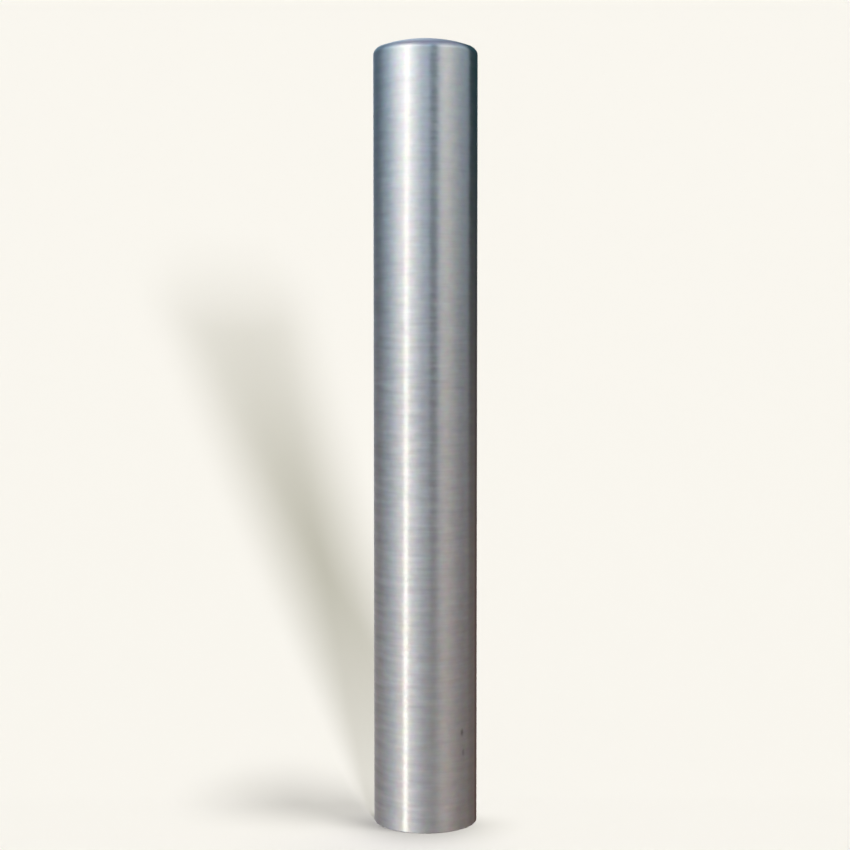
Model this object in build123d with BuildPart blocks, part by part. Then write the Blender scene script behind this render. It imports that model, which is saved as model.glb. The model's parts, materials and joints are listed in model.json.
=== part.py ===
"""Fixed steel security bollard: a stainless pipe post closed by a pressed domed cap.

The cap is butt-welded to the pipe all round, and the weld is ground flush and brushed with the rest,
so that the outside reads as one surface. The foot is the pipe's own cut end.

Sizes are in millimetres. +Z is up, and the origin is the middle of the foot, at ground level.
"""

import os
from math import radians, sqrt, tan

from build123d import *

# Post: a five-inch nominal pipe of the heavy wall that security posts use
overall_height = 1067.0  # ground to the crown of the cap
pipe_diameter = 141.3
pipe_wall = 6.55
foot_chamfer = 1.0  # broken outer edge of the cut foot
bore_deburr = 0.5  # broken inner edge of the cut foot

# Cap: a plate pressed to a shallow dish, with a knuckle bend and a straight skirt
cap_wall = 6.0
dish_radius = 190.0  # outside of the dish
knuckle_radius = 10.5  # outside of the bend between dish and skirt
tightest_bend = 2.0  # smallest inside radius that the press leaves
skirt_length = 12.0

# Weld: a single V between the bevelled ends of pipe and skirt
root_gap = 2.0
root_land = 1.5  # square nose left inside each bevelled end
bevel_angle = 30.0
root_bead_rise = 0.8  # how far the root of the weld stands into the bore

# Places worked out from the sizes
pipe_radius = pipe_diameter / 2
bore_radius = pipe_radius - pipe_wall
cap_bore_radius = pipe_radius - cap_wall
dish_centre = overall_height - dish_radius
knuckle_centre = dish_centre + sqrt((dish_radius - knuckle_radius) ** 2 - (pipe_radius - knuckle_radius) ** 2)
skirt_end = knuckle_centre - skirt_length
pipe_length = skirt_end - root_gap
bevel_slope = tan(radians(bevel_angle))


def dished_plug(side_radius, plug_dish_radius, bend_radius):
    """Half section of a round plug from the skirt's end up to a dished top with a rounded rim."""
    crown = (0, dish_centre + plug_dish_radius)
    rim = (side_radius, dish_centre + sqrt(plug_dish_radius**2 - side_radius**2))
    with BuildSketch(Plane.XZ) as section:
        with BuildLine():
            RadiusArc(crown, rim, plug_dish_radius)
            Polyline(rim, (side_radius, skirt_end), (0, skirt_end), crown)
        make_face()
        rim_corner = section.vertices().group_by(Axis.X)[-1].sort_by(Axis.Y)[-1]
        fillet(rim_corner, bend_radius)
    return section.sketch


def outer_edge(face):
    """The longer of the two round edges of a flat ring."""
    return face.edges().sort_by(SortBy.LENGTH)[-1]


def inner_edge(face):
    """The shorter of the two round edges of a flat ring."""
    return face.edges().sort_by(SortBy.LENGTH)[0]


# Post tube, cut square at the foot and bevelled for the weld at the top
with BuildPart() as post_tube:
    with BuildSketch():
        Circle(pipe_radius)
        Circle(bore_radius, mode=Mode.SUBTRACT)
    extrude(amount=pipe_length)
    foot_face = post_tube.faces().sort_by(Axis.Z)[0]
    chamfer(outer_edge(foot_face), foot_chamfer)
    foot_face = post_tube.faces().sort_by(Axis.Z)[0]
    chamfer(inner_edge(foot_face), bore_deburr)
    weld_face = post_tube.faces().sort_by(Axis.Z)[-1]
    chamfer(outer_edge(weld_face), pipe_wall - root_land, angle=bevel_angle, reference=weld_face)

# Domed cap: the dished plug, hollowed by the same shape one wall smaller
with BuildPart() as domed_cap:
    add(dished_plug(pipe_radius, dish_radius, knuckle_radius))
    revolve(axis=Axis.Z)
    add(dished_plug(cap_bore_radius, dish_radius - cap_wall, max(knuckle_radius - cap_wall, tightest_bend)))
    revolve(axis=Axis.Z, mode=Mode.SUBTRACT)
    weld_face = domed_cap.faces().filter_by(Axis.Z).sort_by(Axis.Z)[0]
    chamfer(outer_edge(weld_face), cap_wall - root_land, angle=bevel_angle, reference=weld_face)

# Cap weld: fills the V flush with the outside, with a low bead at its root
with BuildPart() as cap_weld:
    with BuildSketch(Plane.XZ):
        with BuildLine():
            pipe_root = (bore_radius, pipe_length)
            cap_root = (cap_bore_radius, skirt_end)
            bead_crest = ((bore_radius + cap_bore_radius) / 2 - root_bead_rise, (pipe_length + skirt_end) / 2)
            Polyline(
                pipe_root,
                (bore_radius + root_land, pipe_length),
                (pipe_radius, pipe_length - (pipe_wall - root_land) * bevel_slope),
                (pipe_radius, skirt_end + (cap_wall - root_land) * bevel_slope),
                (cap_bore_radius + root_land, skirt_end),
                cap_root,
            )
            ThreePointArc(cap_root, bead_crest, pipe_root)
        make_face()
    revolve(axis=Axis.Z)

os.makedirs("parts", exist_ok=True)
post_tube.part.label = "post_tube"
domed_cap.part.label = "domed_cap"
cap_weld.part.label = "cap_weld"
export_step(post_tube.part, "parts/post_tube.step")
export_step(domed_cap.part, "parts/domed_cap.step")
export_step(cap_weld.part, "parts/cap_weld.step")
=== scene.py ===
# %% [markdown]
# # A brushed steel bollard
#
# The object is a security bollard: a stainless steel pipe that stands in front of a building, closed by a
# low domed cap. It has almost no features, so everything that makes it look real is in two things: true
# sections at its ends, and a finish that reflects the room in long soft stripes.
#
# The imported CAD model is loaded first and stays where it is. It fixes every size below.

import json
from math import asin, cos, degrees, hypot, pi, radians, sin, sqrt, tan

import bpy
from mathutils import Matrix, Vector


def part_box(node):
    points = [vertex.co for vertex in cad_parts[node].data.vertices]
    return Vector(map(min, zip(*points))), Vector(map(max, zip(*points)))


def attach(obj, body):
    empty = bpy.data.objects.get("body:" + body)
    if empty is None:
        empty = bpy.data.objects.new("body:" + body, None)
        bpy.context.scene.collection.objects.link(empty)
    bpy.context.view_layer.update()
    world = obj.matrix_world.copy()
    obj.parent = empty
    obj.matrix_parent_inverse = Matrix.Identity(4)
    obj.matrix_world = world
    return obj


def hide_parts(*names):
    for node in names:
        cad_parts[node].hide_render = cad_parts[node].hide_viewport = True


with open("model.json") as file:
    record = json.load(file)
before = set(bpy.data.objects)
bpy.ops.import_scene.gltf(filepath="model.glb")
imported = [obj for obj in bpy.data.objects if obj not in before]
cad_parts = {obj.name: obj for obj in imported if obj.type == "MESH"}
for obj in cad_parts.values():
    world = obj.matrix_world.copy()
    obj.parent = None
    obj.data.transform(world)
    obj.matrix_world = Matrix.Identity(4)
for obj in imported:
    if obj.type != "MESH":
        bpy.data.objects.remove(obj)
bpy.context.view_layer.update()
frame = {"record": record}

# %% [markdown]
# ## Sizes
#
# What the frame can tell is read from it: the pipe's outside, where the pipe ends, where the cap starts and
# how high its crown is. The bore comes from the mount that the record gives for it. The rest are the
# fabricator's own values for edges, walls and the weld, in metres like everything in Blender.

# %% Read the sizes from the frame
MM = 0.001

pipe_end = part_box("post_tube")[1].z
skirt_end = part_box("domed_cap")[0].z
crown_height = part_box("domed_cap")[1].z
seam_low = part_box("cap_weld")[0].z
seam_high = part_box("cap_weld")[1].z
pipe_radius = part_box("post_tube")[1].x
bore_mount = next(mount for mount in frame["record"]["mounts"] if mount["name"] == "foot_bore")
bore_radius = bore_mount["dims"]["r_mm"] * MM

foot_chamfer = 1.0 * MM
bore_deburr = 0.5 * MM
root_land = 1.5 * MM
root_bead_rise = 0.8 * MM
cap_wall = 6.0 * MM
dish_radius = 190.0 * MM
knuckle_radius = 10.5 * MM
cap_bore_radius = pipe_radius - cap_wall
for label, size in (("pipe radius", pipe_radius), ("bore radius", bore_radius), ("pipe end", pipe_end)):
    print(label, round(size / MM, 2), "mm")

# %% [markdown]
# ## Camera
#
# A post seen from close by shows both its foot from above and its cap from below. The distance is what
# makes that happen, so it is set first, and the lens then fills the frame. The camera stands at hip height,
# some two and a quarter metres away, and looks down by three degrees.

# %% Stand the camera in front of the post
camera_distance = 2.282
camera_height = 0.669
camera_pitch = 3.08
camera_lens, camera_sensor = 70.74, 36  # millimetres
camera_side = -0.0006  # the post stands a hair right of the photograph's middle

bpy.ops.object.camera_add(
    location=(camera_side, -camera_distance, camera_height),
    rotation=(radians(90 - camera_pitch), 0, 0),
)
camera = bpy.context.object
camera.data.lens = camera_lens
camera.data.sensor_width = camera_sensor
bpy.context.scene.camera = camera
bpy.context.scene.view_settings.view_transform = "Standard"
print("camera", tuple(round(value, 3) for value in camera.location), "lens", camera_lens, "mm")

# %% [markdown]
# ## Paper and lamps
#
# The floor is one sheet of pale paper, as a photographer would hang it. It lies flat in front of the post and
# under it, and climbs gently behind it, so that the long shadow of the low lamp can run far up the picture.
# On a flat floor it would have to end below the horizon.
#
# The sheet should look like nothing at all, and a slope would catch more of the low light than the flat
# does. So every point of it is shaded as if the whole sheet had the slope's own lean. Only the shadow, which
# falls on the real surface, still shows where the paper is.

# %% Lay the paper
paper_colour = (0.947, 0.922, 0.863)
floor_colour = (0.932, 0.907, 0.850)  # a little darker, as the slope and the flat light each other
paper_reach = 200  # how far it runs to each side and to the front
climb_start = 0.09  # behind the post's axis
climb_length = 12.0
climb_steps = 24
climb_angle = 11.4
climb_curve = 0.015  # further climb per square metre of distance


def climb_height(distance):
    """How high the paper is at a distance behind the line where it leaves the floor."""
    return distance * tan(radians(climb_angle)) + climb_curve * distance ** 2


bpy.ops.object.select_all(action="DESELECT")
bpy.ops.mesh.primitive_plane_add(size=2 * paper_reach, location=(0, climb_start - paper_reach, 0))
bpy.ops.object.transform_apply(location=True, rotation=False, scale=False)
floor = bpy.context.object
floor.name = "floor"
bpy.ops.object.mode_set(mode="EDIT")
bpy.ops.mesh.select_mode(type="VERT")
bpy.ops.mesh.select_all(action="DESELECT")
bpy.ops.object.mode_set(mode="OBJECT")
for corner in floor.data.vertices:
    corner.select = corner.co.y > 0
bpy.ops.object.mode_set(mode="EDIT")
bpy.ops.mesh.select_mode(type="EDGE")
stride = climb_length / climb_steps
for step in range(climb_steps):
    rise = climb_height((step + 1) * stride) - climb_height(step * stride)
    bpy.ops.mesh.extrude_region_move(TRANSFORM_OT_translate={"value": (0, stride, rise)})
bpy.ops.object.mode_set(mode="OBJECT")
paper_top = max(corner.co.z for corner in floor.data.vertices)
print("paper", len(floor.data.polygons), "strips, highest", round(paper_top, 2), "m")

# %% Colour the paper
floor_paint = bpy.data.materials.new("pale_paper")
floor_paint.use_nodes = True
floor_paint.cycles.use_bump_map_correction = False  # Cycles then takes the fixed lean as it is
floor_shader = floor_paint.node_tree.nodes["Principled BSDF"]
floor_shader.inputs["Roughness"].default_value = 1.0
floor_shader.inputs["Specular IOR Level"].default_value = 0.0
one_lean = floor_paint.node_tree.nodes.new("ShaderNodeCombineXYZ")
one_lean.inputs["Y"].default_value = -sin(radians(climb_angle))
one_lean.inputs["Z"].default_value = cos(radians(climb_angle))
floor_paint.node_tree.links.new(one_lean.outputs[0], floor_shader.inputs["Normal"])
floor.data.materials.append(floor_paint)
floor.visible_glossy = False
print("paper shaded as if all of it leaned by", climb_angle, "degrees")

# %% [markdown]
# Three sun lamps and a little room light fall on the paper evenly to its edge, so it meets the background
# with no line, which a lamp at a fixed distance could not do. The low one, in front, lays the long shadow.
# The high one, on the right, lays a short one to the left, and the one behind darkens the paper just in
# front of the foot. None of them shows in the steel: what the steel reflects is hung separately, further
# down.
#
# Together they make white, but the low lamp is a touch blue, and the lamp behind and the room are yellow. So
# the long shadow, which the low lamp doesn't reach, has the faint straw tint of warm room light.


# %% Light the floor
lamp_spot = (0, 0, 3)  # a sun lamp shines the same from anywhere


def add_sun(name, azimuth, height, strength, spread, colour=(1, 1, 1)):
    """A sun lamp in the sky at an azimuth (0 is the camera's side, 90 its right) and a height in degrees."""
    bpy.ops.object.light_add(
        type="SUN",
        location=lamp_spot,
        rotation=(radians(90 - height), 0, radians(azimuth)),
    )
    sun = bpy.context.object
    sun.name = name
    sun.data.energy = strength
    sun.data.angle = radians(spread)
    sun.data.color = colour
    sun.visible_glossy = False
    return sun


low_azimuth = 11.1
low_spread = 8.2
low_sun = add_sun("low_sun", low_azimuth, height=3.7, strength=6.61, spread=low_spread, colour=(1, 1, 1.11))
high_sun = add_sun("high_sun", azimuth=68, height=77.3, strength=1.034, spread=9.3)
back_sun = add_sun("back_sun", azimuth=164, height=76.7, strength=0.387, spread=22, colour=(1, 1, 0.61))
print("lamps:", low_sun.name, high_sun.name, back_sun.name)

# %% [markdown]
# The world has two jobs. What looks straight at it sees plain paper, so the far edge of the sheet vanishes
# against it. What it sheds on the sheet is the weak yellow light of the room. One colour can't be both, so a
# Light Path node tells from the kind of ray which of the two is asked for. Its three answers are joined with
# Math nodes, and as every pattern below needs those too, they get a helper here.


# %% Light the room
def math_node(tree, operation, *values):
    """A Math node whose inputs are sockets or plain numbers."""
    node = tree.nodes.new("ShaderNodeMath")
    node.operation = operation
    for socket, value in zip(node.inputs, values):
        if isinstance(value, bpy.types.NodeSocket):
            tree.links.new(value, socket)
        else:
            socket.default_value = value
    return node.outputs[0]


room_colour, room_strength = (1.0, 1.0, 0.4), 0.04

world = bpy.data.worlds.new("paper_background")
bpy.context.scene.world = world
world.use_nodes = True
room = world.node_tree
room.nodes.clear()
room_light = room.nodes.new("ShaderNodeBackground")
room_light.inputs["Color"].default_value = (*room_colour, 1)
room_light.inputs["Strength"].default_value = room_strength
backdrop = room.nodes.new("ShaderNodeBackground")
backdrop.inputs["Color"].default_value = (*paper_colour, 1)
ray = room.nodes.new("ShaderNodeLightPath")
seen = math_node(room, "MAXIMUM", ray.outputs["Is Camera Ray"], ray.outputs["Is Glossy Ray"])
seen = math_node(room, "MAXIMUM", seen, ray.outputs["Is Transmission Ray"])
either = room.nodes.new("ShaderNodeMixShader")
room.links.new(seen, either.inputs["Fac"])
room.links.new(room_light.outputs[0], either.inputs[1])
room.links.new(backdrop.outputs[0], either.inputs[2])
room_output = room.nodes.new("ShaderNodeOutputWorld")
room.links.new(either.outputs[0], room_output.inputs["Surface"])
print("room light", room_strength, "and a backdrop of", paper_colour)

# %% [markdown]
# ## What the steel reflects
#
# A brushed post has hardly any tone of its own. Its look is the room, squeezed sideways into its width, so
# a photographer of metal hangs panels round it: a wide soft light on the left, a narrow bright strip in it,
# a weaker fill on the right, and black flags that draw the dark lines near the edges.
#
# They could be separate cards, but cards overlap, cast on each other and show gaps. Here they are painted
# on the inside of one big tent that only reflections see. Each panel is a soft-edged stripe at an azimuth,
# with one colour above the horizon and one below it, laid over those before it. Most run from the floor
# to the ceiling. The low strip and the edge flag stay low, and the thin flag hangs from half way up the sky
# down to the horizon. The strips hang a little askew, so the highlight wanders to the left as it comes down
# the post.
#
# Light that has already met the paper finds the tent dark. Otherwise the post would throw the panels' light
# on the paper round its foot and wash out the shadow there.
#
# Overhead the tent is brighter, which draws the light line round the rim of the cap, and closes with a
# blue-grey ceiling, which the top of the dome shows.

# %% Panels of the tent, from back to front
# name: azimuth, lean, half width, softness, bottom, top, colour above the horizon, colour below it
# All but the colours are degrees, and the lean is the degrees of azimuth for each degree of height.
tent_base = ((0.27, 0.34, 0.40), (0.30, 0.25, 0.23))
tent_panels = {
    "right fill": (31.5, 0, 1, 64, -120, 120, (0.76, 0.78, 0.75), (0.59, 0.51, 0.48)),
    "left fill": (-106, 0, 60, 80, -120, 120, (0.41, 0.54, 0.65), (0.59, 0.60, 0.62)),
    "wide light": (-44, 0, 5, 44, -120, 120, (1.15, 1.17, 1.19), (0.83, 0.83, 0.88)),
    "low strip": (-39.6, 0.37, 18, 2.5, -120, 0, (0.95, 0.88, 0.84), (0.95, 0.88, 0.84)),
    "bright strip": (-42.6, 0.12, 2.9, 2.5, -120, 120, (1.68, 1.62, 1.52), (2.62, 2.59, 2.38)),
    "soft flag": (15, 0, 6, 27, -120, 120, (0.46, 0.57, 0.70), (0.48, 0.45, 0.43)),
    "thin flag": (16.5, 0.09, 4.2, 9.6, -20, 60, (0.14, 0.21, 0.24), (0.23, 0.15, 0.18)),
    "right flag": (144, 0, 26, 12, -120, 120, (0.01, 0.04, 0.05), (0.23, 0.19, 0.17)),
    "left flag": (-135.5, 0, 5, 55, -120, 120, (0.08, 0.13, 0.18), (0.39, 0.36, 0.36)),
    "edge flag": (153, 0, 4, 8, -120, 20, (0.01, 0.04, 0.05), (0.11, 0.06, 0.05)),
}
panel_end_blend = 20  # degrees over which a panel fades in at its bottom and out at its top
tent_radius = 3.0
horizon_blend = 20  # degrees over which the ground colours give way to the sky's
lift_start, lift_full = 14, 31  # degrees up, between which the sky brightens
sky_lift = 2.16  # how much brighter it is above them
zenith_start, zenith_full = 38, 65  # degrees up, between which the ceiling closes the tent
zenith_colour = (0.36, 0.39, 0.57)
half_a_bounce = 0.5  # bounces are counted in ones, so less than this is none

# %% [markdown]
# A pattern made of nodes takes dozens of them, and the same few kinds come back each time. Every kind gets a
# helper that adds the node, feeds it and hands on its output, so a pattern reads like a formula.


# %% Helpers for patterns
white, black = (1, 1, 1), (0, 0, 0)


def colour_node(tree, colour):
    """A fixed colour as a node."""
    node = tree.nodes.new("ShaderNodeRGB")
    node.outputs[0].default_value = (*colour, 1)
    return node.outputs[0]


def object_coordinates(tree):
    """Sockets for x, y and z on the piece itself, and for all three together as its place."""
    source = tree.nodes.new("ShaderNodeTexCoord")
    parts = tree.nodes.new("ShaderNodeSeparateXYZ")
    tree.links.new(source.outputs["Object"], parts.inputs[0])
    return (*parts.outputs, source.outputs["Object"])


def distance_node(tree, first, second):
    """The distance that two steps at right angles make together."""
    squares = [math_node(tree, "MULTIPLY", step, step) for step in (first, second)]
    return math_node(tree, "SQRT", math_node(tree, "ADD", *squares))


def ramp_node(tree, value, start, end, low=0.0, high=1.0):
    """Takes a value smoothly from low, at start, to high, at end."""
    node = tree.nodes.new("ShaderNodeMapRange")
    node.interpolation_type = "SMOOTHSTEP"
    tree.links.new(value, node.inputs["Value"])
    node.inputs["From Min"].default_value = start
    node.inputs["From Max"].default_value = end
    node.inputs["To Min"].default_value = low
    node.inputs["To Max"].default_value = high
    return node.outputs["Result"]


def mix_node(tree, factor, first, second, blend="MIX"):
    """Blends two colour sockets by a factor, which is a socket or a plain number."""
    node = tree.nodes.new("ShaderNodeMix")
    node.data_type = "RGBA"
    node.blend_type = blend
    sockets = {socket.identifier: socket for socket in (*node.inputs, *node.outputs)}
    tree.links.new(first, sockets["A_Color"])
    tree.links.new(second, sockets["B_Color"])
    if isinstance(factor, bpy.types.NodeSocket):
        tree.links.new(factor, sockets["Factor_Float"])
    else:
        sockets["Factor_Float"].default_value = factor
    return sockets["Result_Color"]


def multiply_colours(tree, first, second):
    """One colour filtered by another."""
    return mix_node(tree, 1.0, first, second, blend="MULTIPLY")


# %% Find directions in the tent
tent_paint = bpy.data.materials.new("tent_panels")
tent_paint.use_nodes = True
tent = tent_paint.node_tree
tent.nodes.clear()
east, north, up, _ = object_coordinates(tent)
elevation = math_node(tent, "DEGREES", math_node(tent, "ARCTAN2", up, distance_node(tent, east, north)))
above = ramp_node(tent, elevation, -horizon_blend, horizon_blend)
towards_camera = math_node(tent, "MULTIPLY", north, -1)
bearing = math_node(tent, "DEGREES", math_node(tent, "ARCTAN2", east, towards_camera))


def stripe_mask(azimuth, lean, half_width, softness):
    """1 on a stripe at an azimuth, falling smoothly to 0 outside it."""
    leaning = math_node(tent, "MULTIPLY", elevation, lean)
    offset = math_node(tent, "SUBTRACT", math_node(tent, "SUBTRACT", bearing, azimuth), leaning)
    angle = math_node(tent, "ABSOLUTE", math_node(tent, "WRAP", offset, 180, -180))
    return ramp_node(tent, angle, half_width, half_width + softness, 1.0, 0.0)


# %% Paint the tent
base_sky, base_ground = tent_base
painted = mix_node(tent, above, colour_node(tent, base_ground), colour_node(tent, base_sky))
lift = ramp_node(tent, elevation, lift_start, lift_full)
for azimuth, lean, half_width, softness, bottom, top, sky, ground in tent_panels.values():
    panel = mix_node(tent, above, colour_node(tent, ground), colour_node(tent, sky))
    fade_in = ramp_node(tent, elevation, bottom, bottom + panel_end_blend)
    fade_out = ramp_node(tent, elevation, top - panel_end_blend, top, 1.0, 0.0)
    height_mask = math_node(tent, "MULTIPLY", fade_in, fade_out)
    mask = math_node(tent, "MULTIPLY", stripe_mask(azimuth, lean, half_width, softness), height_mask)
    painted = mix_node(tent, mask, painted, panel)
lifted = multiply_colours(tent, painted, colour_node(tent, (sky_lift,) * 3))
painted = mix_node(tent, lift, painted, lifted)
overhead = ramp_node(tent, elevation, zenith_start, zenith_full)
painted = mix_node(tent, overhead, painted, colour_node(tent, zenith_colour))
glow = tent.nodes.new("ShaderNodeEmission")
tent.links.new(painted, glow.inputs["Color"])
path_so_far = tent.nodes.new("ShaderNodeLightPath")
not_from_paper = math_node(tent, "LESS_THAN", path_so_far.outputs["Diffuse Depth"], half_a_bounce)
tent.links.new(not_from_paper, glow.inputs["Strength"])
tent_output = tent.nodes.new("ShaderNodeOutputMaterial")
tent.links.new(glow.outputs[0], tent_output.inputs["Surface"])
print("tent painted with", len(tent_panels), "panels:", ", ".join(tent_panels))

# %% Pitch the tent round the post
bpy.ops.object.select_all(action="DESELECT")
bpy.ops.mesh.primitive_uv_sphere_add(
    segments=64,
    ring_count=32,
    radius=tent_radius,
    location=(0, 0, crown_height / 2),
)
tent_shell = bpy.context.object
tent_shell.name = "reflection_tent"
tent_shell.data.materials.append(tent_paint)
tent_shell.visible_camera = False
tent_shell.visible_diffuse = False
tent_shell.visible_transmission = False
tent_shell.visible_volume_scatter = False
tent_shell.visible_shadow = False
print(tent_shell.name, 2 * tent_radius, "m across")

# %% [markdown]
# ## Fill the shadow at the foot
#
# Close to its foot a bright post throws light back into its own long shadow, which is half filled there.
# Light thrown by polished metal is slow and noisy to trace. So inside that shadow the paper glows a little,
# and reflects less by as much: where the lamp does reach it nothing changes, and where it doesn't the paper
# is lighter. The glow is strongest at the foot and thins out along the shadow, fast at first.
#
# Right in front of the foot the post also hides the room behind it from the paper. Lamps as small as these
# three don't show that, so the paper itself is a little darker there.


# %% Let the paper glow in the long shadow
def thinning_node(tree, value, start, end):
    """1 up to the start, then falling to 0 at the end, fast at first."""
    left = math_node(tree, "DIVIDE", math_node(tree, "SUBTRACT", end, value), end - start)
    left = math_node(tree, "MINIMUM", math_node(tree, "MAXIMUM", left, 0.0), 1.0)
    return math_node(tree, "MULTIPLY", left, left)


fill_share = 0.72  # how much of the paper's tone is its own at the post's axis
fill_start, fill_end = -0.02, 2.0  # along the shadow, from the post's axis
fill_inside, fill_outside = 0.060, 0.076  # across it, at the foot
fill_widening = tan(radians(low_spread / 2))

sheet = floor_paint.node_tree
sheet_east, sheet_north, _, _ = object_coordinates(sheet)
shadow_east, shadow_north = -sin(radians(low_azimuth)), cos(radians(low_azimuth))
along = math_node(
    sheet,
    "ADD",
    math_node(sheet, "MULTIPLY", sheet_east, shadow_east),
    math_node(sheet, "MULTIPLY", sheet_north, shadow_north),
)
across = math_node(
    sheet,
    "ADD",
    math_node(sheet, "MULTIPLY", sheet_east, shadow_north),
    math_node(sheet, "MULTIPLY", sheet_north, -shadow_east),
)
aside = math_node(
    sheet,
    "SUBTRACT",
    math_node(sheet, "ABSOLUTE", across),
    math_node(sheet, "MULTIPLY", along, fill_widening),
)
fill_along = math_node(sheet, "MULTIPLY", thinning_node(sheet, along, 0.0, fill_end), fill_share)
behind = ramp_node(sheet, along, fill_start, 0.0)
fill_across = ramp_node(sheet, aside, fill_inside, fill_outside, 1.0, 0.0)
fill = math_node(sheet, "MULTIPLY", fill_along, math_node(sheet, "MULTIPLY", fill_across, behind))
print("shadow filled by", fill_share, "at the foot, by nothing from", fill_end, "m on")

# %% Darken the paper in front of the foot
contact_tone = (0.71, 0.71, 0.68)
contact_lead = 0.015  # its middle lies this far in front of the post's axis
contact_start, contact_end = 0.055, 0.15  # from that middle
contact_back = 0.04  # from full so far in front of the axis to nothing so far behind it

forward = math_node(sheet, "ADD", sheet_north, contact_lead)
foot_distance = distance_node(sheet, sheet_east, forward)
round_foot = thinning_node(sheet, foot_distance, contact_start, contact_end)
in_front = ramp_node(sheet, sheet_north, -contact_back, contact_back, 1.0, 0.0)
contact = math_node(sheet, "MULTIPLY", round_foot, in_front)
contact_paint = mix_node(sheet, contact, colour_node(sheet, white), colour_node(sheet, contact_tone))
print("paper darker up to", contact_end, "m from the foot's middle")

# %% Join the paper's colours
reflecting = mix_node(sheet, fill, colour_node(sheet, floor_colour), colour_node(sheet, black))
reflecting = multiply_colours(sheet, reflecting, contact_paint)
glowing = multiply_colours(sheet, colour_node(sheet, paper_colour), contact_paint)
sheet.links.new(reflecting, floor_shader.inputs["Base Color"])
sheet.links.new(glowing, floor_shader.inputs["Emission Color"])
sheet.links.new(fill, floor_shader.inputs["Emission Strength"])
print("paper paint:", floor_paint.name, len(sheet.nodes), "nodes")

# %% [markdown]
# ## A lathe for round pieces
#
# Pipe, cap and weld ring are all round, so each is a half outline spun about the post's axis. A cylinder
# primitive would give the pipe, but not the cap's dish or the weld's root. The outline is drawn as by hand:
# one vertex is extruded from point to point, then the Spin tool turns it into a closed shell.

# %% Draw an outline and spin it
around = 360  # steps of the spin, one for each degree
merge_distance = 0.01 * MM
smooth_angle = 30  # sharper edges than this stay sharp


def arc(centre_height, centre_radius, radius, start, end, steps):
    """Points (radius, height) on an arc; angles are degrees from straight up, towards the outside."""
    turns = [radians(start + (end - start) * step / steps) for step in range(steps + 1)]
    return [(centre_radius + radius * sin(turn), centre_height + radius * cos(turn)) for turn in turns]


def lathe(name, outline, closed):
    """Spins a half outline round the axis. One that isn't closed starts and ends on the axis."""
    bpy.ops.object.select_all(action="DESELECT")
    bpy.ops.mesh.primitive_plane_add(size=1 * MM, location=(outline[0][0], 0, outline[0][1]))
    bpy.ops.object.transform_apply(location=True, rotation=False, scale=False)
    piece = bpy.context.object
    piece.name = name
    bpy.ops.object.mode_set(mode="EDIT")
    bpy.ops.mesh.select_mode(type="VERT")
    bpy.ops.mesh.merge(type="CENTER")
    route = outline + outline[:1] if closed else outline
    for (from_radius, from_height), (to_radius, to_height) in zip(route, route[1:]):
        step = (to_radius - from_radius, 0, to_height - from_height)
        bpy.ops.mesh.extrude_region_move(TRANSFORM_OT_translate={"value": step})
    bpy.ops.mesh.select_all(action="SELECT")
    bpy.ops.mesh.spin(steps=around, angle=2 * pi, center=(0, 0, 0), axis=(0, 0, 1))
    bpy.ops.mesh.select_all(action="SELECT")
    bpy.ops.mesh.remove_doubles(threshold=merge_distance)
    bpy.ops.mesh.normals_make_consistent(inside=False)
    bpy.ops.object.mode_set(mode="OBJECT")
    bpy.ops.object.shade_smooth_by_angle(angle=radians(smooth_angle))
    print(name, len(piece.data.vertices), "vertices", len(piece.data.polygons), "faces")
    return piece


# %% [markdown]
# ## The pipe
#
# The foot is a sawn end with its outer edge broken and its bore deburred. The top is bevelled for the weld,
# down to a square land at the bore. Those edges are why the outline has seven corners and not four.

# %% Turn the pipe
pits = ((44.5, 133 * MM, 0.62), (46.5, 105 * MM, 0.40))  # azimuth in degrees, height, darkness
pit_width, pit_tall = 4.6 * MM, 9.2 * MM
pit_depth = 0.2 * MM
pit_reach = 3.2 * MM
ring_step = 0.8 * MM

pipe_outline = [
    (pipe_radius - foot_chamfer, 0),
    (pipe_radius, foot_chamfer),
]
for _, height, _ in reversed(pits):
    rings = round(2 * pit_tall / ring_step)
    pipe_outline += [(pipe_radius, height - pit_tall + ring * ring_step) for ring in range(rings + 1)]
pipe_outline += [
    (pipe_radius, seam_low),
    (bore_radius + root_land, pipe_end),
    (bore_radius, pipe_end),
    (bore_radius, bore_deburr),
    (bore_radius + bore_deburr, 0),
]
pipe_post = lathe("pipe_post", pipe_outline, closed=True)

# %% [markdown]
# ## The cap
#
# The cap is pressed from plate: a shallow dish, a tight bend called the knuckle, and a short straight skirt.
# Dish and knuckle are arcs that run into each other with no corner, so the centre of the knuckle is found
# from the two radii. The inside is the same outline, one wall in.


# %% Turn the cap
def dish_and_knuckle(crown, dish, side, bend, dish_steps, bend_steps):
    """Outline from the crown, along the dish and round the knuckle, to the top of the straight skirt."""
    dish_centre = crown - dish
    bend_centre = dish_centre + sqrt((dish - bend) ** 2 - (side - bend) ** 2)
    turn = degrees(asin((side - bend) / (dish - bend)))
    dish_arc = arc(dish_centre, 0, dish, 0, turn, dish_steps)
    return dish_arc + arc(bend_centre, side - bend, bend, turn, 90, bend_steps)[1:]


outside = dish_and_knuckle(
    crown_height,
    dish_radius,
    pipe_radius,
    knuckle_radius,
    dish_steps=28,
    bend_steps=18,
)
inside = dish_and_knuckle(
    crown_height - cap_wall,
    dish_radius - cap_wall,
    cap_bore_radius,
    knuckle_radius - cap_wall,
    dish_steps=20,
    bend_steps=10,
)
cap_outline = outside + [
    (pipe_radius, seam_high),
    (cap_bore_radius + root_land, skirt_end),
    (cap_bore_radius, skirt_end),
] + inside[::-1]
cap_shell = lathe("cap_shell", cap_outline, closed=False)

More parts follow.
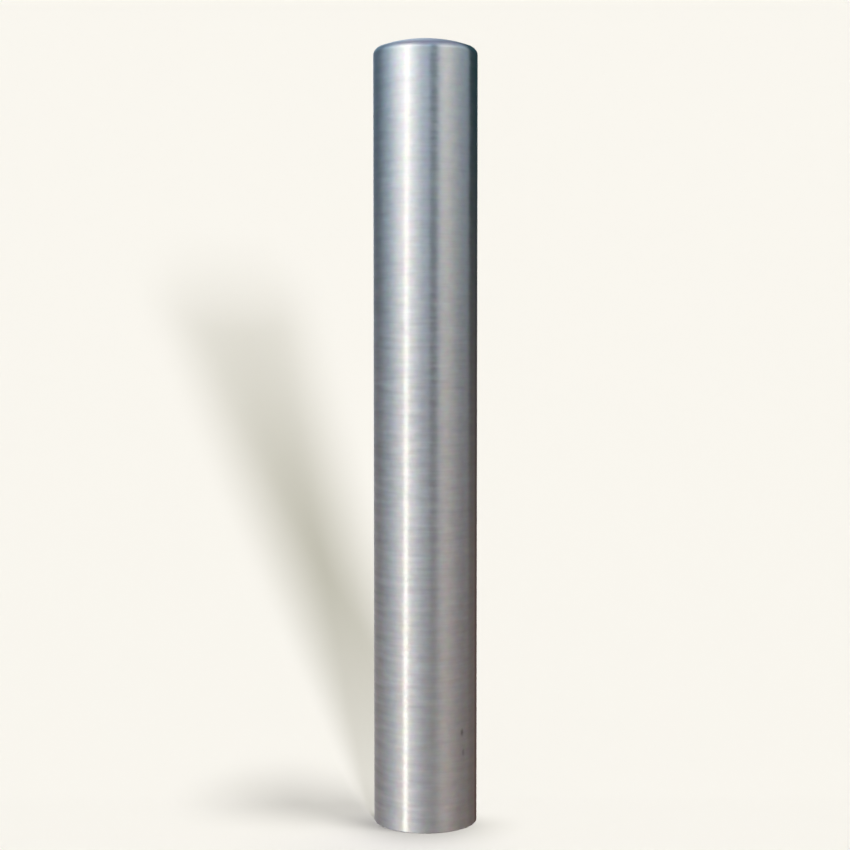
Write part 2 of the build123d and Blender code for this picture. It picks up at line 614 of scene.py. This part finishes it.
# %% [markdown]
# ## The weld
#
# The weld fills the V between pipe and cap. Outside it is ground flush, so it must vanish. Inside, its root
# stands a little proud, as a rounded bead.

# %% Turn the weld ring
bead_points = 7
bead = []
for step in range(1, bead_points):
    share = step / bead_points
    bead.append((
        cap_bore_radius + (bore_radius - cap_bore_radius) * share - root_bead_rise * sin(pi * share),
        skirt_end + (pipe_end - skirt_end) * share,
    ))
weld_outline = [
    (bore_radius, pipe_end),
    (bore_radius + root_land, pipe_end),
    (pipe_radius, seam_low),
    (pipe_radius, seam_high),
    (cap_bore_radius + root_land, skirt_end),
    (cap_bore_radius, skirt_end),
] + bead
weld_ring = lathe("weld_ring", weld_outline, closed=True)

# %% [markdown]
# ## Two pits
#
# Low on the right the wall has two small marks, one above the other, where something has struck it. Each is
# a real dent a fifth of a millimetre deep. The rings of the outline there give it vertices, and moving one of
# them inwards with proportional editing takes its neighbours along. Two such presses make the mark taller
# than it is wide.


# %% Press the pits
def pick_out(piece):
    """Makes one piece the only selected object, and the active one."""
    bpy.ops.object.select_all(action="DESELECT")
    piece.select_set(True)
    bpy.context.view_layer.objects.active = piece


def least_radius(piece, target):
    """The smallest distance from the axis among the wall's vertices close to a point."""
    near = [vertex.co for vertex in piece.data.vertices if (vertex.co - target).length < pit_reach]
    return min(hypot(place.x, place.y) for place in near)


def press_pit(piece, azimuth, height):
    """Pushes the wall in at an azimuth (0 faces the camera, 90 is to its right) and a height."""
    outwards = Vector((sin(radians(azimuth)), -cos(radians(azimuth)), 0))
    pick_out(piece)
    for step in (-pit_reach / 2, pit_reach / 2):
        target = outwards * pipe_radius + Vector((0, 0, height + step))
        bpy.ops.object.mode_set(mode="EDIT")
        bpy.ops.mesh.select_mode(type="VERT")
        bpy.ops.mesh.select_all(action="DESELECT")
        bpy.ops.object.mode_set(mode="OBJECT")
        nearest = min(piece.data.vertices, key=lambda vertex: (vertex.co - target).length)
        nearest.select = True
        bpy.ops.object.mode_set(mode="EDIT")
        bpy.ops.transform.translate(
            value=-outwards * pit_depth,
            use_proportional_edit=True,
            proportional_edit_falloff="SMOOTH",
            proportional_size=pit_reach,
        )
        bpy.ops.object.mode_set(mode="OBJECT")
    deepest = pipe_radius - least_radius(piece, target)
    print("pit at", round(height / MM), "mm, deepest", round(deepest / MM, 3), "mm")


for azimuth, height, _ in pits:
    press_pit(pipe_post, azimuth, height)

# %% [markdown]
# ## Brushed stainless steel
#
# The post was linished: an abrasive belt ran round it and left fine grooves all round. Grooves scatter light
# across themselves and hardly along themselves, so each reflection is stretched up and down and stays crisp
# sideways. That is the anisotropy of the shader, with its tangent running round the axis.
#
# The grooves themselves are noise, stretched round the post. The height minus the distance from the axis
# makes one coordinate that climbs the wall and goes on inwards over the cap, so the brushing is unbroken.
# Three sizes lie over each other: grooves, the streaks that groups of them make, and the wider bands that
# the belt left each time it stepped along, which show most on the lower half. The streaks change how rough
# the steel is too, which gives the highlight its ragged edges, and under them all the belt left low waves.


# %% Noise, metal and relief
def stretched_noise(tree, x, y, climb, length, pitch, detail=2.0):
    """Noise from 0 to 1 whose spots have a length along x and y, and a pitch along the climb."""
    vector = tree.nodes.new("ShaderNodeCombineXYZ")
    tree.links.new(math_node(tree, "DIVIDE", x, length), vector.inputs["X"])
    tree.links.new(math_node(tree, "DIVIDE", y, length), vector.inputs["Y"])
    tree.links.new(math_node(tree, "DIVIDE", climb, pitch), vector.inputs["Z"])
    noise = tree.nodes.new("ShaderNodeTexNoise")
    tree.links.new(vector.outputs[0], noise.inputs["Vector"])
    noise.inputs["Scale"].default_value = 1.0
    noise.inputs["Detail"].default_value = detail
    return noise.outputs["Fac"]


def even_noise(tree, place, size, detail=2.0, channel="Fac"):
    """Noise with spots of one size in all directions."""
    noise = tree.nodes.new("ShaderNodeTexNoise")
    tree.links.new(place, noise.inputs["Vector"])
    noise.inputs["Scale"].default_value = 1 / size
    noise.inputs["Detail"].default_value = detail
    return noise.outputs[channel]


def swing(tree, value, amount):
    """Takes a 0 to 1 value to a swing about 0 of the given amount to each side."""
    return math_node(tree, "SUBTRACT", math_node(tree, "MULTIPLY", value, 2 * amount), amount)


def roughen_surface(tree, shader, height, depth, strength):
    """Bumps the surface by a height pattern, in which 1 stands for the given depth."""
    bump = tree.nodes.new("ShaderNodeBump")
    bump.inputs["Strength"].default_value = strength
    bump.inputs["Distance"].default_value = depth
    tree.links.new(height, bump.inputs["Height"])
    tree.links.new(bump.outputs[0], shader.inputs["Normal"])


def metal(name):
    """A new all-metal material: itself, its node tree and its shader."""
    material = bpy.data.materials.new(name)
    material.use_nodes = True
    shader = material.node_tree.nodes["Principled BSDF"]
    shader.inputs["Metallic"].default_value = 1.0
    return material, material.node_tree, shader


# %% Brush the steel
groove_length, groove_pitch = 30 * MM, 0.5 * MM
streak_length, streak_pitch = 30 * MM, 3.4 * MM
band_length, band_pitch = 60 * MM, 8.5 * MM
mottle_size = 16 * MM
groove_depth = 0.02 * MM
wave_length, wave_pitch = 20 * MM, 8 * MM
wave_share = 40  # how much deeper the belt's waves are than its grooves
steel_tone = 0.634
steel_anisotropy = 0.85
quarter_turn = 0.25  # of the shader's own tangent, so that reflections stretch up and down
groove_tone, streak_tone, band_tone, mottle_tone = 0.03, 0.08, 0.125, 0.06
upper_band_share = 0.55  # the bands' strength high on the post, against 1 on the lower half
band_fade_top, band_fade_end = 0.80, 0.60  # the heights between which it changes
left_band_share, right_band_share = 2.2, 0.8  # their strength on the left and the right, against 1 between
left_band_full, left_band_end = 0.80, 0.45  # of the radius: full beyond the one, gone within the other
right_band_full = 0.5  # full beyond this share of the radius, and gone at the middle

brushed, steel, steel_shader = metal("brushed_stainless")
steel_shader.inputs["Anisotropic"].default_value = steel_anisotropy
steel_shader.inputs["Anisotropic Rotation"].default_value = quarter_turn
grain_direction = steel.nodes.new("ShaderNodeTangent")
grain_direction.direction_type = "RADIAL"
grain_direction.axis = "Z"
steel.links.new(grain_direction.outputs[0], steel_shader.inputs["Tangent"])

x, y, z, place = object_coordinates(steel)
climb = math_node(steel, "SUBTRACT", z, distance_node(steel, x, y))
groove = stretched_noise(steel, x, y, climb, groove_length, groove_pitch)
streak = stretched_noise(steel, x, y, climb, streak_length, streak_pitch, detail=1.0)
band = stretched_noise(steel, x, y, climb, band_length, band_pitch, detail=1.0)
wave = stretched_noise(steel, x, y, climb, wave_length, wave_pitch, detail=1.0)
mottle = even_noise(steel, place, mottle_size)
print("grooves", round(groove_pitch / MM, 1), "mm apart, streaks", round(streak_pitch / MM, 1), "mm")

# %% Tones of the brushing
sideways = math_node(steel, "DIVIDE", x, pipe_radius)
band_left = ramp_node(steel, sideways, -left_band_full, -left_band_end, left_band_share, 1.0)
band_right = ramp_node(steel, sideways, 0.0, right_band_full, 1.0, right_band_share)
band_height = ramp_node(steel, z, band_fade_end, band_fade_top, 1.0, upper_band_share)
band_swing = swing(steel, band, band_tone)
for strength in (band_height, band_left, band_right):
    band_swing = math_node(steel, "MULTIPLY", band_swing, strength)

tone = math_node(steel, "ADD", 1.0, band_swing)
for pattern, amount in ((groove, groove_tone), (streak, streak_tone), (mottle, mottle_tone)):
    tone = math_node(steel, "ADD", tone, swing(steel, pattern, amount))
tone = math_node(steel, "MULTIPLY", tone, steel_tone)
print("steel's own tone", steel_tone)

# %% [markdown]
# Steel that has been rubbed and handled is never one clean grey: faint warm and cool spots lie over it, a
# finger's width across. A noise gives its three colour channels different values, so its own colours, laid
# very thinly over the grey, make such spots with no image to repeat or to show a seam.

# %% Tint the steel a little, unevenly
tint_size = 10 * MM
tint_share = 0.19  # how much of the noise's own colours is laid over the grey

grey = steel.nodes.new("ShaderNodeCombineColor")
for channel in grey.inputs:
    steel.links.new(tone, channel)
tint_spots = even_noise(steel, place, tint_size, detail=1.0, channel="Color")
tint = mix_node(steel, tint_share, colour_node(steel, white), tint_spots)
steel_colour = multiply_colours(steel, grey.outputs[0], tint)
print("tint spots of", round(tint_size / MM), "mm")

# %% [markdown]
# Dirt collects in a pit and darkens it more than its shape does. A decal would be one more piece, lying on
# the wall. Here the distance from the middle of each pit, with height counted for less, makes a dark spot
# that is taller than it is wide, and a fine noise frays it so that it has no clean rim.

# %% Stain the pits
stain_colour = (0.17, 0.17, 0.15)
stain_core, stain_rim = 0.1, 0.8  # where the stain is full and where it ends, in pit widths
stain_grain = 2 * MM
stain_fray = 0.5 * MM
for azimuth, height, darkness in pits:
    centre = steel.nodes.new("ShaderNodeVectorMath")
    centre.operation = "SUBTRACT"
    steel.links.new(place, centre.inputs[0])
    centre.inputs[1].default_value = (
        pipe_radius * sin(radians(azimuth)),
        -pipe_radius * cos(radians(azimuth)),
        height,
    )
    squeeze = steel.nodes.new("ShaderNodeVectorMath")
    squeeze.operation = "MULTIPLY"
    steel.links.new(centre.outputs[0], squeeze.inputs[0])
    squeeze.inputs[1].default_value = (1, 1, pit_width / pit_tall)
    far = steel.nodes.new("ShaderNodeVectorMath")
    far.operation = "LENGTH"
    steel.links.new(squeeze.outputs[0], far.inputs[0])
    fray = swing(steel, even_noise(steel, place, stain_grain), stain_fray)
    ragged = math_node(steel, "ADD", far.outputs["Value"], fray)
    stain = ramp_node(steel, ragged, pit_width * stain_core, pit_width * stain_rim, darkness, 0.0)
    steel_colour = mix_node(steel, stain, steel_colour, colour_node(steel, stain_colour))
    print("stain at", round(height / MM), "mm, darkness", darkness)
steel.links.new(steel_colour, steel_shader.inputs["Base Color"])

# %% [markdown]
# Colour alone would look printed. So the streaks also change how rough the steel is, which spreads the
# highlight more in one than in the next, and the grooves tilt the surface as a bump. Cutting them into the
# mesh would take millions of faces, for a depth of hundredths of a millimetre that no outline can show.

# %% Grooves in the roughness and the surface
streak_roughness = (0.295, 0.365)  # in the smoothest streaks and in the roughest
streak_low, streak_high = 0.38, 0.62  # most of the streaks' noise lies between these
mottle_roughness = 0.03
groove_strength = 0.25
rough = ramp_node(steel, streak, streak_low, streak_high, *streak_roughness)
rough = math_node(steel, "ADD", rough, swing(steel, mottle, mottle_roughness))
steel.links.new(rough, steel_shader.inputs["Roughness"])
relief = math_node(steel, "ADD", groove, math_node(steel, "MULTIPLY", wave, wave_share))
roughen_surface(steel, steel_shader, relief, groove_depth, groove_strength)
for piece in (pipe_post, cap_shell, weld_ring):
    piece.data.materials.append(brushed)
print("brushed:", pipe_post.name, cap_shell.name, weld_ring.name)

# %% [markdown]
# ## Where the belt never reached
#
# Only the outside is brushed. The bore and the underside of the cap keep the dull grey of the pickling bath,
# with faint lines along the pipe from its making. Beside the weld the heat has coloured them, straw first
# and blue closest to the bead. The foot shows the fine straight lines of the saw, and the root of the weld
# has the ripples of a bead laid in one pass.
#
# All this could be separate pieces, but it is the same metal. So these are finishes of their own on faces of
# the three pieces, picked by where they are and which way they look, and given with Assign as by hand.

# %% [markdown]
# Pickling eats the scale off and leaves an even, dull grey. Two noises make it, one drawn out along the pipe
# for the lines of its making, and one fine and the same all ways. The heat tints are two rings at set
# distances from the weld, because the colour depends only on how hot the steel became there.

# %% Pickled steel with heat tint
draw_line_width, draw_line_length = 2.5 * MM, 200 * MM
pickle_grain = 1.2 * MM
pickle_depth = 0.03 * MM
pickle_strength = 0.5
pickle_roughness = (0.48, 0.62)
noise_low, noise_high = 0.3, 0.7  # most of a noise lies between these
blotch_low, blotch_high = 0.35, 0.65  # and most of the mean of two between these
dark_pickle, light_pickle = (0.36, 0.36, 0.35), (0.47, 0.47, 0.46)
straw_tint, blue_tint = (0.46, 0.36, 0.22), (0.20, 0.25, 0.36)
straw_reach, blue_reach = 16 * MM, 7 * MM  # from the middle of the weld, up and down

pickled, bath, pickled_shader = metal("pickled_steel")
x, y, z, place = object_coordinates(bath)
draw_lines = stretched_noise(bath, x, y, z, draw_line_width, draw_line_length)
grain = even_noise(bath, place, pickle_grain)
both = math_node(bath, "DIVIDE", math_node(bath, "ADD", draw_lines, grain), 2)
blotches = ramp_node(bath, both, blotch_low, blotch_high)
bath_colour = mix_node(bath, blotches, colour_node(bath, dark_pickle), colour_node(bath, light_pickle))
seam_gap = math_node(bath, "ABSOLUTE", math_node(bath, "SUBTRACT", z, (pipe_end + skirt_end) / 2))
for colour, tint_reach in ((straw_tint, straw_reach), (blue_tint, blue_reach)):
    heat = ramp_node(bath, seam_gap, tint_reach / 2, tint_reach, 1.0, 0.0)
    bath_colour = mix_node(bath, heat, bath_colour, colour_node(bath, colour))
bath.links.new(bath_colour, pickled_shader.inputs["Base Color"])
pickle_rough = ramp_node(bath, grain, noise_low, noise_high, *pickle_roughness)
bath.links.new(pickle_rough, pickled_shader.inputs["Roughness"])
roughen_surface(bath, pickled_shader, grain, pickle_depth, pickle_strength)
print("finish:", pickled.name)

# %% [markdown]
# A band saw crosses the whole pipe in one direction. So the noise on the cut runs straight along x, and not
# round the axis as it does on the outside.

# %% Sawn steel
saw_length, saw_pitch = 80 * MM, 0.6 * MM
saw_depth = 0.04 * MM
saw_strength = 0.6
saw_roughness = (0.44, 0.34)  # in the lines and between them
dark_cut, light_cut = (0.47, 0.47, 0.46), (0.60, 0.60, 0.59)

sawn, cut, sawn_shader = metal("sawn_steel")
x, y, *_ = object_coordinates(cut)
saw_lines = stretched_noise(cut, x, x, y, saw_length, saw_pitch)
saw_tones = ramp_node(cut, saw_lines, noise_low, noise_high)
cut_colour = mix_node(cut, saw_tones, colour_node(cut, dark_cut), colour_node(cut, light_cut))
cut.links.new(cut_colour, sawn_shader.inputs["Base Color"])
saw_rough = ramp_node(cut, saw_lines, noise_low, noise_high, *saw_roughness)
cut.links.new(saw_rough, sawn_shader.inputs["Roughness"])
roughen_surface(cut, sawn_shader, saw_lines, saw_depth, saw_strength)
print("finish:", sawn.name)

# %% [markdown]
# The root of a weld freezes in ripples, one close behind the other along the bead. A sine of the way round
# the bore draws them, and some noise added to that way keeps them from being as regular as a thread.

# %% Weld bead
ripple_pitch = 1.8 * MM
ripple_depth = 0.25 * MM
ripple_strength = 0.8
ripple_wander, wander_size = 0.7 * MM, 5.4 * MM
bead_roughness = (0.46, 0.30)  # between the ripples and on them
dark_bead, light_bead = (0.34, 0.32, 0.30), (0.52, 0.51, 0.49)

bead_steel, weld, bead_shader = metal("weld_bead")
x, y, _, place = object_coordinates(weld)
round_angle = math_node(weld, "ARCTAN2", y, x)
run = math_node(weld, "MULTIPLY", round_angle, bore_radius)
run = math_node(weld, "ADD", run, swing(weld, even_noise(weld, place, wander_size), ripple_wander))
swell = math_node(weld, "SINE", math_node(weld, "MULTIPLY", run, 2 * pi / ripple_pitch))
ripples = ramp_node(weld, swell, -1, 1)
bead_colour = mix_node(weld, ripples, colour_node(weld, dark_bead), colour_node(weld, light_bead))
weld.links.new(bead_colour, bead_shader.inputs["Base Color"])
bead_rough = ramp_node(weld, swell, -1, 1, *bead_roughness)
weld.links.new(bead_rough, bead_shader.inputs["Roughness"])
roughen_surface(weld, bead_shader, ripples, ripple_depth, ripple_strength)
print("finish:", bead_steel.name)

# %% [markdown]
# Now each piece takes its second finish on some of its faces. Picking thousands of faces by hand would have
# to be done again after every change of size. A test of where a face is and which way it looks picks them
# all, since above the foot's edge only the hidden side looks towards the axis, or down.


# %% Give the finishes to their faces
turned_in = -0.3  # a face looks inwards, or down, when its share outwards, or up, is less than this
straight_down = -0.9


def outwards_share(place, normal):
    """How much a face looks away from the axis: 1 straight out, -1 straight in."""
    return (normal.x * place.x + normal.y * place.y) / hypot(place.x, place.y)


def in_the_hollow(place, normal):
    """The bore, the underside of the cap and the root of the weld."""
    return outwards_share(place, normal) < turned_in or (place.z > foot_chamfer and normal.z < turned_in)


def on_the_foot(place, normal):
    """The flat ring that the post stands on."""
    return place.z < foot_chamfer and normal.z < straight_down


def assign(piece, finish, chosen):
    """Gives a piece another finish, on the faces that a test of place and normal picks."""
    pick_out(piece)
    bpy.ops.object.material_slot_add()
    piece.active_material = finish
    bpy.ops.object.mode_set(mode="EDIT")
    bpy.ops.mesh.select_mode(type="FACE")
    bpy.ops.mesh.select_all(action="DESELECT")
    bpy.ops.object.mode_set(mode="OBJECT")
    for face in piece.data.polygons:
        face.select = chosen(face.center, face.normal)
    picked = sum(face.select for face in piece.data.polygons)
    bpy.ops.object.mode_set(mode="EDIT")
    bpy.ops.object.material_slot_assign()
    bpy.ops.object.mode_set(mode="OBJECT")
    print(piece.name, "has", finish.name, "on", picked, "faces")


assign(pipe_post, pickled, in_the_hollow)
assign(pipe_post, sawn, on_the_foot)
assign(cap_shell, pickled, in_the_hollow)
assign(weld_ring, bead_steel, in_the_hollow)

# %% [markdown]
# ## Put it together
#
# Each turned piece stands for the CAD node of the same form, whose own mesh is hidden, and rides on the one
# body that the part has.

# %% Seat the pieces on the frame
for piece, node, finish in (
    (pipe_post, "post_tube", "brushed_steel"),
    (cap_shell, "domed_cap", "brushed_steel"),
    (weld_ring, "cap_weld", "weld_steel"),
):
    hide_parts(node)
    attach(piece, "root")
